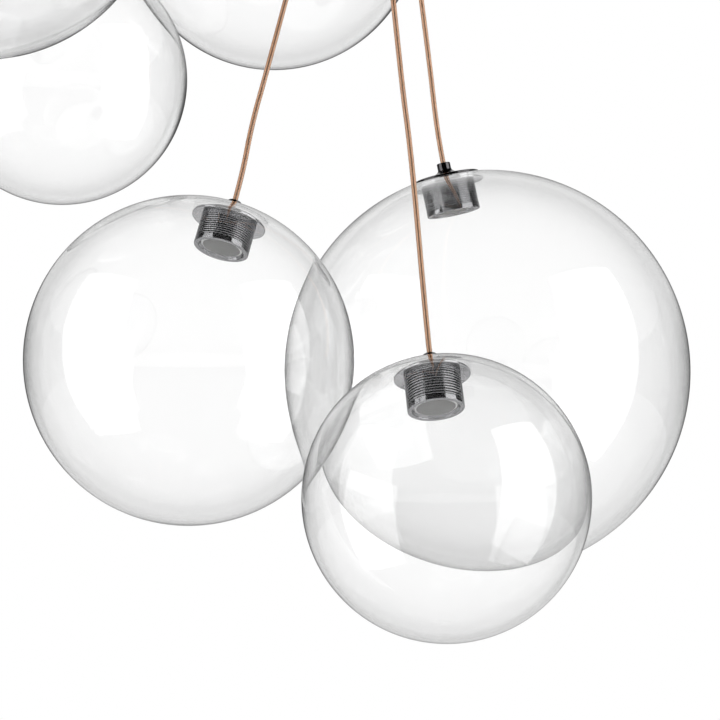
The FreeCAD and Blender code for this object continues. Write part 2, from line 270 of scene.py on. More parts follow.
def new_material(name: str) -> tuple[bpy.types.Material, Tree, bpy.types.Node]:
    """Make an empty node material.

    Args:
        name: The material's name.

    Returns:
        The material, its tree, and its Principled shader, linked to the output.
    """
    material = bpy.data.materials.new(name)
    material.use_nodes = True
    tree = Tree(material.node_tree)
    shader = tree.add("ShaderNodeBsdfPrincipled")
    output = tree.add("ShaderNodeOutputMaterial")
    tree.link(shader.outputs[0], output.inputs["Surface"])
    return material, tree, shader


# ------------------------------------------------------------------ finishes


@dataclass(frozen=True)
class Metal:
    """Polished or satin metal with faint wear in its gloss."""

    name: str
    colour: Triple
    roughness: float
    wear: float = 0.04
    grain: float = 900.0
    bump: float = 0.05
    cloud: float = 60.0
    cloud_detail: float = 4.0
    dulled: float = 0.82
    bump_height: float = 0.02 * MM

    def material(self) -> bpy.types.Material:
        """Build the node material and return it."""
        material, tree, shader = new_material(self.name)
        shader.inputs["Metallic"].default_value = 1.0
        where = tree.place("Object")
        cloud = tree.noise(where, self.cloud, Detail=self.cloud_detail)
        tone = tree.blend(cloud, self.colour, tuple(c * self.dulled for c in self.colour))
        tree.link(tone, shader.inputs["Base Color"])
        spread = tree.math("MULTIPLY_ADD", cloud, self.wear, self.roughness)
        tree.link(spread, shader.inputs["Roughness"])
        fine = tree.noise(where, self.grain)
        tree.link(tree.relief(fine, self.bump, self.bump_height), shader.inputs["Normal"])
        return material


@dataclass(frozen=True)
class GrooveShadedMetal:
    """Turned metal in its own bright colour on its outermost faces, with painted shade on the
    faces below them.

    It reads the piece's UV map: U is the depth below the outermost radius, in millimetres.
    """

    name: str
    crest: Triple
    # Colour of the painted shade on the faces below the outermost radius.
    groove_shade: Triple
    roughness: float = 0.05
    shade_onset: Point = (0.10, 0.36)
    wear: float = 0.02
    cloud: float = 60.0

    def material(self) -> bpy.types.Material:
        """Build the node material and return it."""
        material, tree, shader = new_material(self.name)
        shader.inputs["Metallic"].default_value = 1.0
        cloud = tree.noise(tree.place("Object"), self.cloud)
        spread = tree.math("MULTIPLY_ADD", cloud, self.wear, self.roughness)
        tree.link(spread, shader.inputs["Roughness"])
        depth = tree.split(tree.place("UV")).outputs["X"]
        # Painted shade: darker the deeper a face lies below the outermost radius.
        depth_shade_mask = tree.span(depth, self.shade_onset, (0.0, 1.0))
        tree.link(tree.blend(depth_shade_mask, self.crest, self.groove_shade), shader.inputs["Base Color"])
        return material


@dataclass(frozen=True)
class Moulded:
    """Moulded plastic, silicone or board with a fine texture."""

    name: str
    colour: Triple
    roughness: float
    transmission: float = 0.0
    grain: float = 1400.0
    mottle: float = 0.06
    cloud: float = 90.0
    wear: float = 0.1
    bump: float = 0.25
    bump_height: float = 0.03 * MM

    def material(self) -> bpy.types.Material:
        """Build the node material and return it."""
        material, tree, shader = new_material(self.name)
        shader.inputs["Transmission Weight"].default_value = self.transmission
        where = tree.place("Object")
        cloud = tree.noise(where, self.cloud)
        tone = tree.blend(cloud, self.colour, tuple(c * (1 - self.mottle) for c in self.colour))
        tree.link(tone, shader.inputs["Base Color"])
        spread = tree.math("MULTIPLY_ADD", cloud, self.wear, self.roughness)
        tree.link(spread, shader.inputs["Roughness"])
        fine = tree.noise(where, self.grain)
        tree.link(tree.relief(fine, self.bump, self.bump_height), shader.inputs["Normal"])
        return material


@dataclass(frozen=True)
class PaintedLightLens:
    """Frosted lens, darkened grey over its face as painted shade and white on its rim as a
    painted reflection.

    It reads the lens's UV map: U is the distance from the axis as a share of its radius.
    """

    name: str
    # The face's grey is painted shade; the rim's white is a painted reflection.
    face: Triple = (0.31, 0.31, 0.305)
    rim: Triple = (0.95, 0.95, 0.95)
    rim_reflection_share: Point = (0.90, 0.925)
    roughness: float = 0.42

    def material(self) -> bpy.types.Material:
        """Build the node material and return it."""
        material, tree, shader = new_material(self.name)
        shader.inputs["Roughness"].default_value = self.roughness
        share = tree.split(tree.place("UV")).outputs["X"]
        # Painted reflection in white towards the rim, painted shade in grey inside it.
        rim_reflection_mask = tree.span(share, self.rim_reflection_share, (0.0, 1.0))
        tree.link(tree.blend(rim_reflection_mask, self.face, self.rim), shader.inputs["Base Color"])
        return material


@dataclass(frozen=True)
class ClearGlass:
    """Clear glass or clear plastic that darkens with the length of the light's way through it."""

    name: str
    ior: float
    tint: Triple
    absorbed: Triple
    density: float

    def material(self) -> bpy.types.Material:
        """Build the node material and return it."""
        material, tree, shader = new_material(self.name)
        shader.inputs["Base Color"].default_value = (*self.tint, 1.0)
        shader.inputs["Transmission Weight"].default_value = 1.0
        shader.inputs["Roughness"].default_value = 0.0
        shader.inputs["IOR"].default_value = self.ior
        depth = tree.add("ShaderNodeVolumeAbsorption")
        depth.inputs["Color"].default_value = (*self.absorbed, 1.0)
        depth.inputs["Density"].default_value = self.density
        output = next(node for node in material.node_tree.nodes if node.type == "OUTPUT_MATERIAL")
        tree.link(depth.outputs[0], output.inputs["Volume"])
        return material


@dataclass(frozen=True)
class CopperStrand:
    """Copper strand: fine wires that wind round it, with painted shade where it faces the other
    strand and in the creases between its fine wires.

    It reads the strand's UV map: U goes once round, from the side that faces the other strand,
    and V along it in turns of the fine wires.
    """

    name: str
    bright: Triple = (0.92, 0.58, 0.38)
    # Colour of the painted shade.
    gap_shade: Triple = (0.14, 0.06, 0.025)
    wires: int = 7
    metallic: float = 0.25
    roughness: float = 0.35
    # Where the painted shade between the strands sets in, as cosines of the turn from the side
    # that faces the other strand.
    inner_side: Point = (0.85, 0.25)
    # Painted shade in the creases between the fine wires.
    wire_shade: float = 0.3
    bump: float = 0.6
    bump_height: float = 0.1 * MM

    def material(self) -> bpy.types.Material:
        """Build the node material and return it."""
        material, tree, shader = new_material(self.name)
        shader.inputs["Metallic"].default_value = self.metallic
        shader.inputs["Roughness"].default_value = self.roughness
        split = tree.split(tree.place("UV"))
        lay = tree.math("ADD", split.outputs["X"], split.outputs["Y"])
        turn = tree.math("MULTIPLY", lay, math.pi * self.wires)
        height = tree.math("ABSOLUTE", tree.math("SINE", turn))
        # Painted shade on the side that faces the other strand, and in the creases between the
        # fine wires.
        facing = tree.math("COSINE", tree.math("MULTIPLY", split.outputs["X"], 2 * math.pi))
        outer = tree.span(facing, self.inner_side, (0.0, 1.0))
        wire = tree.math("MULTIPLY_ADD", height, self.wire_shade, 1 - self.wire_shade)
        tone = tree.blend(tree.math("MULTIPLY", wire, outer), self.gap_shade, self.bright)
        tree.link(tone, shader.inputs["Base Color"])
        tree.link(tree.relief(height, self.bump, self.bump_height), shader.inputs["Normal"])
        return material


class Finishes(Enum):
    """Every finish on the lamp."""

    GLASS = ClearGlass("clear_blown_glass", 1.47, (1.0, 1.0, 1.0), (0.3, 0.33, 0.32), 5.0)
    JACKET = ClearGlass("clear_cord_jacket", 1.45, (0.97, 0.90, 0.84), (0.9, 0.75, 0.6), 20.0)
    STRAND = CopperStrand("twisted_copper")
    BLACK_NICKEL = Metal("black_nickel", (0.10, 0.085, 0.09), 0.10, bump=0.01)
    # The second colour of these two finishes is painted shade on the faces below the outermost
    # radius.
    DARK_CHROME = GrooveShadedMetal("dark_chrome", (0.88, 0.90, 0.89), (0.09, 0.09, 0.09))
    NICKEL = GrooveShadedMetal("polished_nickel", (0.80, 0.80, 0.80), (0.13, 0.13, 0.13))
    ZINC = Metal("zinc_plate", (0.62, 0.63, 0.64), 0.32, wear=0.1, grain=500.0, bump=0.1)
    FROSTED = PaintedLightLens("frosted_lens")
    SILICONE = Moulded("clear_silicone", (0.85, 0.86, 0.86), 0.30, transmission=0.6)
    BOARD = Moulded("white_board", (0.80, 0.81, 0.78), 0.45)
    PLASTIC = Moulded("driver_plastic", (0.82, 0.82, 0.80), 0.42)

    def get(self) -> bpy.types.Material:
        """Return the finish's material, built on its first use."""
        return bpy.data.materials.get(self.value.name) or self.value.material()


# ------------------------------------------------------------------ mesh helpers


def arc(centre: Point, radius: float, start: float, end: float, steps: int) -> list[Point]:
    """Points of an arc in an outline.

    Args:
        centre: Its centre, as distance from the axis and height.
        radius: Its radius.
        start: Where it starts, in degrees from the outward direction, upwards.
        end: Where it ends.
        steps: How many spans it has.

    Returns:
        The points, both ends included.
    """
    angles = [math.radians(start + (end - start) * i / steps) for i in range(steps + 1)]
    return [(centre[0] + radius * math.cos(a), centre[1] + radius * math.sin(a)) for a in angles]


def lathe(
    name: str, outline: Sequence[Point], segments: int, sharp: float = CRISP_ANGLE
) -> bpy.types.Object:
    """Turn a closed outline round Z.

    Args:
        name: The new object's name.
        outline: Its points as distance from the axis and height, anticlockwise seen with
            the axis on the left.
        segments: How many spans go round.
        sharp: Edges that turn by more degrees than this stay crisp.

    Returns:
        The new object, still about the origin.
    """
    tiny = 1e-7
    vertices: list[Triple] = []
    rings: list[list[int]] = []
    for radius, height in outline:
        if radius < tiny:
            rings.append([len(vertices)] * segments)
            vertices.append((0.0, 0.0, height))
            continue
        rings.append(list(range(len(vertices), len(vertices) + segments)))
        for i in range(segments):
            angle = 2 * math.pi * i / segments
            vertices.append((radius * math.cos(angle), radius * math.sin(angle), height))
    faces = []
    for low, high in zip(rings, rings[1:] + rings[:1]):
        for i in range(segments):
            j = (i + 1) % segments
            corners = list(dict.fromkeys((low[i], low[j], high[j], high[i])))
            if len(corners) > 2:
                faces.append(corners)
    mesh = bpy.data.meshes.new(name)
    mesh.from_pydata(vertices, [], faces)
    mesh.shade_smooth()
    mesh.set_sharp_from_angle(angle=math.radians(sharp))
    piece = bpy.data.objects.new(name, mesh)
    bpy.context.scene.collection.objects.link(piece)
    return piece


def note_depth(piece: bpy.types.Object, outermost: float) -> None:
    """Note in a UV map how far each point of a turned piece lies below its outermost radius.

    Args:
        piece: The piece, still about the origin.
        outermost: That radius.
    """
    depths = piece.data.uv_layers.new(name="depth")
    for loop, uv in zip(piece.data.loops, depths.data):
        where = piece.data.vertices[loop.vertex_index].co
        uv.uv = ((outermost - math.hypot(where.x, where.y)) / MM, 0.0)


def set_down(piece: bpy.types.Object, place: Matrix) -> None:
    """Move a piece's mesh to its place, its object still at the origin.

    Args:
        piece: The piece.
        place: The way from the origin to its place.
    """
    piece.data.transform(place)
    piece.data.update()


def dress(piece: bpy.types.Object, finish: Finishes) -> None:
    """Give a piece one finish all over.

    Args:
        piece: The piece.
        finish: The finish.
    """
    piece.data.materials.clear()
    piece.data.materials.append(finish.get())


def hand_over(piece: bpy.types.Object, body: str, nodes: Sequence[str]) -> None:
    """Tie a finished piece to its body and the nodes it stands for.

    Args:
        piece: The finished piece.
        body: The body it moves with.
        nodes: The nodes that it replaces.
    """
    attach(piece, body)
    if nodes:
        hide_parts(*nodes)
    LOG.info("%s: %d faces on %s", piece.name, len(getattr(piece.data, "polygons", [])), body)


# ------------------------------------------------------------------ fitting sizes


@dataclass(frozen=True)
class FittingSizes:
    """Real sizes of the fitting at a globe's mouth, in metres."""

    wall: float = 2.2 * MM
    mouth: float = 27.0 * MM
    seat: float = 36.0 * MM
    seal: float = 0.8 * MM
    cap_radius: float = 31.0 * MM
    cap_edge: float = 2.0 * MM
    flare: float = 8.0 * MM
    nose_radius: float = 6.35 * MM
    nose_height: float = 4.7 * MM
    bore_radius: float = 4.4 * MM
    bore_depth: float = 5.0 * MM
    stem_radius: float = 5.0 * MM
    stem_length: float = 7.0 * MM
    clamp_radius: float = 34.0 * MM
    clamp_thickness: float = 2.2 * MM
    neck_radius: float = 20.0 * MM
    barrel_radius: float = 25.25 * MM
    shoulder: float = 1.5 * MM
    rib_count: int = 10
    rib_depth: float = 1.3 * MM
    bezel: float = 5.0 * MM
    bezel_mouth: float = 21.0 * MM
    lens_radius: float = 19.0 * MM
    lens_edge: float = 2.0 * MM
    lens_crown: float = 3.0 * MM
    lens_recess: float = 2.6 * MM
    board_radius: float = 16.5 * MM
    board_room: float = 7.0 * MM
    fit: float = 0.3 * MM
    lead_hole: float = 2.0 * MM
    cap_rim: float = 1.5 * MM
    clamp_slit: float = 0.8 * MM


SIZES = FittingSizes()


@dataclass
class Levels:
    """Heights above a globe's centre, along its own axis."""

    radius: float
    rib_pitch: float
    rim: float = field(init=False)
    seat: float = field(init=False)
    cap: float = field(init=False)
    disc_top: float = field(init=False)
    nose_root: float = field(init=False)
    nose_top: float = field(init=False)
    clamp_top: float = field(init=False)
    shoulder: float = field(init=False)
    ribs_low: float = field(init=False)
    bottom: float = field(init=False)
    lens_low: float = field(init=False)

    def __post_init__(self) -> None:
        """Work the heights out from the globe's radius."""
        self.rim = math.sqrt(self.radius ** 2 - SIZES.seat ** 2)
        self.seat = self.rim - SIZES.wall
        self.cap = self.rim + SIZES.seal
        self.disc_top = self.cap + SIZES.cap_edge
        self.nose_root = self.disc_top + SIZES.flare
        self.nose_top = self.nose_root + SIZES.nose_height
        self.clamp_top = self.seat - SIZES.seal
        self.shoulder = self.clamp_top - SIZES.clamp_thickness
        self.ribs_low = self.shoulder - SIZES.shoulder - SIZES.rib_count * self.rib_pitch
        self.bottom = self.ribs_low - SIZES.bezel
        self.lens_low = self.bottom + SIZES.lens_recess


# ------------------------------------------------------------------ ribs by geometry nodes


class RibTree:
    """Geometry nodes that turn one rib's section and repeat it down the barrel."""

    NAME = "turned_ribs"
    AROUND = 128
    SECTION_POINTS = 14
    HALF_WIDTH = 0.31  # of the pitch

    def __init__(self) -> None:
        """Build the tree with its named inputs."""
        self.group = bpy.data.node_groups.new(self.NAME, "GeometryNodeTree")
        self.ids: dict[str, str] = {}
        for label, kind in (
            ("Count", "NodeSocketInt"),
            ("Pitch", "NodeSocketFloat"),
            ("Radius", "NodeSocketFloat"),
            ("Depth", "NodeSocketFloat"),
            ("Low", "NodeSocketFloat"),
            ("Material", "NodeSocketMaterial"),
        ):
            socket = self.group.interface.new_socket(label, in_out="INPUT", socket_type=kind)
            self.ids[label] = socket.identifier
        self.group.interface.new_socket(
            "Geometry", in_out="OUTPUT", socket_type="NodeSocketGeometry"
        )
        self._wire(Tree(self.group))

    def _wire(self, tree: Tree) -> None:
        """Lay out the nodes: a round path, the rib's section, copies up the barrel."""
        given = tree.add("NodeGroupInput")
        result = tree.add("NodeGroupOutput")
        path = tree.add("GeometryNodeCurvePrimitiveCircle", mode="RADIUS")
        path.inputs["Resolution"].default_value = self.AROUND
        depth, pitch = given.outputs["Depth"], given.outputs["Pitch"]
        middle = tree.math("MULTIPLY_ADD", depth, -0.5, given.outputs["Radius"])
        tree.link(middle, path.inputs["Radius"])
        section = tree.add("GeometryNodeCurvePrimitiveCircle", mode="RADIUS")
        section.inputs["Resolution"].default_value = self.SECTION_POINTS
        section.inputs["Radius"].default_value = 1.0
        half_depth = tree.math("MULTIPLY", depth, 0.5)
        half_width = tree.math("MULTIPLY", pitch, self.HALF_WIDTH)
        squash = tree.add("ShaderNodeCombineXYZ")
        tree.link(half_depth, squash.inputs["X"])
        tree.link(half_width, squash.inputs["Y"])
        squash.inputs["Z"].default_value = 1.0
        shaped = tree.add("GeometryNodeTransform")
        tree.link(section.outputs["Curve"], shaped.inputs["Geometry"])
        tree.link(squash.outputs[0], shaped.inputs["Scale"])
        rib = tree.add("GeometryNodeCurveToMesh")
        tree.link(path.outputs["Curve"], rib.inputs["Curve"])
        tree.link(shaped.outputs["Geometry"], rib.inputs["Profile Curve"])
        rise = tree.add("ShaderNodeCombineXYZ")
        tree.link(pitch, rise.inputs["Z"])
        start = tree.add("ShaderNodeCombineXYZ")
        low = tree.math("MULTIPLY_ADD", pitch, 0.5, given.outputs["Low"])
        tree.link(low, start.inputs["Z"])
        line = tree.add("GeometryNodeMeshLine", mode="OFFSET")
        tree.link(given.outputs["Count"], line.inputs["Count"])
        tree.link(start.outputs[0], line.inputs["Start Location"])
        tree.link(rise.outputs[0], line.inputs["Offset"])
        copies = tree.add("GeometryNodeInstanceOnPoints")
        tree.link(line.outputs[0], copies.inputs["Points"])
        tree.link(rib.outputs[0], copies.inputs["Instance"])
        real = tree.add("GeometryNodeRealizeInstances")
        tree.link(copies.outputs[0], real.inputs[0])
        smooth = tree.add("GeometryNodeSetShadeSmooth")
        tree.link(real.outputs[0], smooth.inputs["Geometry"])
        coat = tree.add("GeometryNodeSetMaterial")
        tree.link(smooth.outputs[0], coat.inputs["Geometry"])
        tree.link(given.outputs["Material"], coat.inputs["Material"])
        tree.link(coat.outputs[0], result.inputs[0])

    def make(self, name: str, low: float, pitch: float, finish: Finishes) -> bpy.types.Mesh:
        """Run the tree.

        Args:
            name: The mesh's name.
            low: Height of the ribbed stretch's lower end.
            pitch: From one rib to the next.
            finish: What the ribs are made of.

        Returns:
            The ribs as one plain mesh about the origin.
        """
        blank = bpy.data.objects.new(name, bpy.data.meshes.new(name))
        bpy.context.scene.collection.objects.link(blank)
        modifier = blank.modifiers.new(self.NAME, "NODES")
        modifier.node_group = self.group
        given = {
            "Count": SIZES.rib_count,
            "Pitch": pitch,
            "Radius": SIZES.barrel_radius,
            "Depth": SIZES.rib_depth,
            "Low": low,
            "Material": finish.get(),
        }
        for label, value in given.items():
            modifier[self.ids[label]] = value
        blank.update_tag()
        graph = bpy.context.evaluated_depsgraph_get()
        mesh = bpy.data.meshes.new_from_object(blank.evaluated_get(graph))
        bpy.data.objects.remove(blank)
        return mesh


# ------------------------------------------------------------------ pendants


@dataclass
class Pendant:
    """One hanging globe with its fitting and its cord."""

    name: str
    ribs: RibTree
    rib_pitch: float
    bends: Sequence[Triple]
    centre: Vector = field(init=False)
    axis: Vector = field(init=False)
    throat: Vector = field(init=False)
    at: Levels = field(init=False)
    place: Matrix = field(init=False)

    GLOBE_SEGMENTS = 192
    GLOBE_SPANS = 96
    GLOBE_CRISP_ANGLE = 60.0
    METAL_SEGMENTS = 128
    LENS_SEGMENTS = 96
    CURVE_STEPS = 24
    # Share by which the glass's inner face moves in and out, and how fine that is.
    UNEVEN = 0.0008
    UNEVEN_SCALE = 14.0
    UNEVEN_SHIFT = (40, 3.0)
    # How the cap's flare runs in and up.
    FLARE_IN = 2.6
    FLARE_UP = 1.5
    CORD_RADIUS = 2.5 * MM
    CORD_LEAD = 26.0 * MM
    CORD_STEPS = 24
    CORD_ROUNDNESS = 6
    STRAND_RADIUS = 0.80 * MM
    STRAND_OFFSET = 0.82 * MM
    STRAND_SEGMENTS = 12
    STRAND_STEP = 3.0 * MM
    STRAND_INSET = 0.6 * MM
    WIRE_TURN = 9.0 * MM

    def __post_init__(self) -> None:
        """Read the globe's place from the frame."""
        low, high = (Vector(corner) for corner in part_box(f"{self.name}_glass_globe"))
        radius = (high.x - low.x) / 2
        self.centre = Vector(((low.x + high.x) / 2, (low.y + high.y) / 2, low.z + radius))
        joints = {joint["name"]: joint for joint in frame["joints"]}
        twist = joints[f"{self.name}_twist"]
        swing = joints[f"{self.name}_swing"]
        self.axis = Vector(twist["axis"]).normalized()
        self.throat = Vector(swing["pos_m"])
        self.at = Levels(radius, self.rib_pitch)
        turned = self.axis.to_track_quat("Z", "Y").to_matrix().to_4x4()
        self.place = Matrix.Translation(self.centre) @ turned

    @property
    def body(self) -> str:
        """The body that the globe and its fitting ride on."""
        return f"{self.name}_pendant"

    def build(self) -> None:
        """Make every piece of the pendant."""
        self.globe()
        self.cap()
        self.barrel()
        self.clamp()
        self.lens()
        self.small_pieces()
        self.cord()

    def globe(self) -> None:
        """Blown glass ball: even outside, slightly uneven wall, fire-polished lip."""
        outer = self.at.radius
        inner = outer - SIZES.wall
        lip = 0.5 * MM
        skin = 0.3 * MM
        below_seat = 0.98
        spans = self.GLOBE_SPANS
        top = math.degrees(math.acos(SIZES.seat / outer))
        inner_seat = math.sqrt(inner ** 2 - self.at.seat ** 2)
        inner_top = math.degrees(math.acos(inner_seat / inner))
        outline = arc((0.0, 0.0), outer, -90.0, top, spans)
        outline += [
            (SIZES.mouth + lip, self.at.rim),
            (SIZES.mouth, self.at.rim - lip),
            (SIZES.mouth, self.at.seat + lip),
            (SIZES.mouth + lip, self.at.seat),
        ]
        outline += arc((0.0, 0.0), inner, inner_top, -90.0, spans)
        name = f"{self.name}_blown_globe"
        piece = lathe(name, outline, self.GLOBE_SEGMENTS, self.GLOBE_CRISP_ANGLE)
        stretch, last = self.UNEVEN_SHIFT
        seed = Vector((len(self.name), outer * stretch, last))
        for vertex in piece.data.vertices:
            where = vertex.co
            if where.length < inner + skin and where.z < self.at.seat * below_seat:
                rise = noise.noise(where * self.UNEVEN_SCALE + seed)
                vertex.co *= 1.0 - self.UNEVEN * (1.0 + rise)
        set_down(piece, self.place)
        dress(piece, Finishes.GLASS)
        hand_over(piece, self.body, [f"{self.name}_glass_globe"])

    def cap(self) -> None:
        """Flared black nickel cap with its straight nose."""
        at = self.at
        edge = 0.3 * MM
        rim_low, rim_high = 0.9 * MM, 0.5 * MM
        nose_round = 0.9 * MM
        stem_room = 0.4 * MM
        run = SIZES.cap_radius - SIZES.cap_rim - SIZES.nose_radius
        flare = []
        for i in range(self.CURVE_STEPS + 1):
            t = i / self.CURVE_STEPS
            radius = SIZES.nose_radius + run * (1 - t) ** self.FLARE_IN
            flare.append((radius, at.disc_top + SIZES.flare * t ** self.FLARE_UP))
        stem = SIZES.stem_radius + SIZES.fit
        stem_top = at.cap + SIZES.stem_length + stem_room
        bore_floor = at.nose_top - SIZES.bore_depth
        corner = (SIZES.nose_radius - nose_round, at.nose_top - nose_round)
        outline = [
            (stem, at.cap),
            (SIZES.cap_radius - edge, at.cap),
            (SIZES.cap_radius, at.cap + edge),
            (SIZES.cap_radius, at.disc_top - rim_low),
            (SIZES.cap_radius - edge, at.disc_top - rim_high),
            *flare,
            *arc(corner, nose_round, 0, 90, 6),
            (SIZES.bore_radius + edge, at.nose_top),
            (SIZES.bore_radius, at.nose_top - edge),
            (SIZES.bore_radius, bore_floor),
            (SIZES.lead_hole, bore_floor),
            (SIZES.lead_hole, stem_top),
            (stem, stem_top),
        ]
        piece = lathe(f"{self.name}_flared_cap", outline, self.METAL_SEGMENTS)
        set_down(piece, self.place)
        dress(piece, Finishes.BLACK_NICKEL)
        hand_over(piece, self.body, [f"{self.name}_cap"])

    def barrel(self) -> None:
        """Turned heat sink: core, ribs by geometry nodes, polished lower ring."""
        at = self.at
        core = SIZES.barrel_radius - SIZES.rib_depth
        ribs_top = at.shoulder - SIZES.shoulder
        edge, root = 0.2 * MM, 0.1 * MM
        round_in = 0.7 * MM
        lip, lip_depth = 0.6 * MM, 0.9 * MM
        lens_top = at.lens_low + SIZES.lens_edge
        roof = lens_top + SIZES.board_room
        chamber = SIZES.board_radius + SIZES.fit
        lens_seat = SIZES.lens_radius + SIZES.fit
        outer = SIZES.barrel_radius
        outline = [
            (SIZES.lead_hole, roof),
            (chamber, roof),
            (chamber, lens_top),
            (lens_seat, lens_top),
            (lens_seat, at.lens_low),
            (SIZES.bezel_mouth - edge, at.bottom + lip_depth),
            *arc((SIZES.bezel_mouth + lip, at.bottom + lip), lip, 180, 270, 5),
            *arc((outer - round_in, at.bottom + round_in), round_in, -90, 0, 6),
            (outer, at.ribs_low - edge),
            (outer - edge, at.ribs_low),
            (core, at.ribs_low + root),
            (core, ribs_top - root),
            (outer - edge, ribs_top),
            (outer, ribs_top + edge),
            (outer, at.shoulder - edge),
            (outer - edge, at.shoulder),
            (SIZES.neck_radius, at.shoulder),
            (SIZES.neck_radius, at.cap),
            (SIZES.stem_radius, at.cap),
            (SIZES.stem_radius, at.cap + SIZES.stem_length),
            (SIZES.lead_hole, at.cap + SIZES.stem_length),
        ]
        piece = lathe(f"{self.name}_ribbed_barrel", outline, self.METAL_SEGMENTS)
        dress(piece, Finishes.DARK_CHROME)
        name = f"{self.name}_ribs"
        ribs = self.ribs.make(name, at.ribs_low, at.rib_pitch, Finishes.DARK_CHROME)
        joined = bmesh.new()
        joined.from_mesh(piece.data)
        joined.from_mesh(ribs)
        joined.to_mesh(piece.data)
        joined.free()
        # The depth map places the painted shade in the grooves and below the outermost faces.
        note_depth(piece, SIZES.barrel_radius)
        set_down(piece, self.place)
        hand_over(piece, self.body, [f"{self.name}_heat_sink"])

    def clamp(self) -> None:
        """Flat clamp ring in two halves under the glass."""
        at = self.at
        edge = 0.35 * MM
        inside = SIZES.neck_radius + SIZES.fit
        outline = [
            (inside, at.shoulder),
            (SIZES.clamp_radius - edge, at.shoulder),
            (SIZES.clamp_radius, at.shoulder + edge),
            (SIZES.clamp_radius, at.clamp_top - edge),
            (SIZES.clamp_radius - edge, at.clamp_top),
            (inside, at.clamp_top),
        ]
        piece = lathe(f"{self.name}_split_clamp", outline, self.METAL_SEGMENTS)
        half_slit = SIZES.clamp_slit / 2
        cut = bmesh.new()
        cut.from_mesh(piece.data)
        for side in (-1.0, 1.0):
            out = Vector((0.0, side, 0.0))
            whole = cut.verts[:] + cut.edges[:] + cut.faces[:]
            bmesh.ops.bisect_plane(cut, geom=whole, plane_co=out * half_slit, plane_no=out)
        gone = [face for face in cut.faces if abs(face.calc_center_median().y) < half_slit]
        bmesh.ops.delete(cut, geom=gone, context="FACES")
        bmesh.ops.holes_fill(cut, edges=[edge for edge in cut.edges if edge.is_boundary], sides=0)
        bmesh.ops.recalc_face_normals(cut, faces=cut.faces[:])
        cut.to_mesh(piece.data)
        cut.free()
        piece.data.set_sharp_from_angle(angle=math.radians(CRISP_ANGLE))
        # The depth map places painted shade on every face but the outer edge.
        note_depth(piece, SIZES.clamp_radius)
        set_down(piece, self.place)
        dress(piece, Finishes.NICKEL)
        hand_over(piece, self.body, [f"{self.name}_clamp_ring"])

    def lens(self) -> None:
        """Frosted lens with a crowned face."""
        at = self.at
        steps = self.CURVE_STEPS
        bulge = (SIZES.lens_crown ** 2 + SIZES.lens_radius ** 2) / (2 * SIZES.lens_crown)
        low = at.lens_low - SIZES.lens_crown
        face = []
        for i in range(steps + 1):
            radius = SIZES.lens_radius * i / steps
            face.append((radius, low + bulge - math.sqrt(bulge ** 2 - radius ** 2)))
        top = at.lens_low + SIZES.lens_edge
        outline = [*face, (SIZES.lens_radius, top), (0.0, top)]
        piece = lathe(f"{self.name}_crowned_lens", outline, self.LENS_SEGMENTS)
        # The radius share places the painted reflection on the lens's rim.
        shares = piece.data.uv_layers.new(name="radius_share")
        for loop, uv in zip(piece.data.loops, shares.data):
            where = piece.data.vertices[loop.vertex_index].co
            uv.uv = (math.hypot(where.x, where.y) / SIZES.lens_radius, 0.0)
        set_down(piece, self.place)
        dress(piece, Finishes.FROSTED)
        hand_over(piece, self.body, [f"{self.name}_lens"])

    def small_pieces(self) -> None:
        """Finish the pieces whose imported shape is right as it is."""
        for kind, finish in (
            ("cord_grip", Finishes.BLACK_NICKEL),
            ("seals", Finishes.SILICONE),
            ("led_board", Finishes.BOARD),
        ):
            dress(frame["nodes"][f"{self.name}_{kind}"], finish)

    def route(self) -> list[Vector]:
        """List the cord's points.

        Returns:
            Gland, the straight run out of it, its slight bends, and the nose.
        """
        start = self.throat
        above = self.centre + self.axis * (self.at.nose_top + self.CORD_LEAD)
        end = self.centre + self.axis * (self.at.nose_top - SIZES.bore_depth)
        bends = [Vector(point) for point in self.bends]
        return [start, start - Vector((0, 0, self.CORD_LEAD)), *bends, above, end]

    def cord(self) -> None:
        """Clear jacket as one smooth curve, with the copper strands inside it."""
        points = self.route()
        name = f"{self.name}_cord_jacket"
        curve = bpy.data.curves.new(name, "CURVE")
        curve.dimensions = "3D"
        spline = curve.splines.new("NURBS")
        spline.points.add(len(points) - 1)
        for point, where in zip(spline.points, points):
            point.co = (*where, 1.0)
        spline.order_u = 3
        spline.use_endpoint_u = True
        spline.resolution_u = self.CORD_STEPS
        line = bpy.data.objects.new(name, curve)
        bpy.context.scene.collection.objects.link(line)
        bpy.context.view_layer.update()
        walk = bpy.data.meshes.new_from_object(line)
        path = [vertex.co.copy() for vertex in walk.vertices]
        bpy.data.meshes.remove(walk)
        curve.bevel_depth = self.CORD_RADIUS
        curve.bevel_resolution = self.CORD_ROUNDNESS
        curve.use_fill_caps = True
        curve.materials.append(Finishes.JACKET.get())
        core = self.core(path)
        body = f"{self.name}_cord"
        hand_over(line, body, [body])
        hand_over(core, body, [])

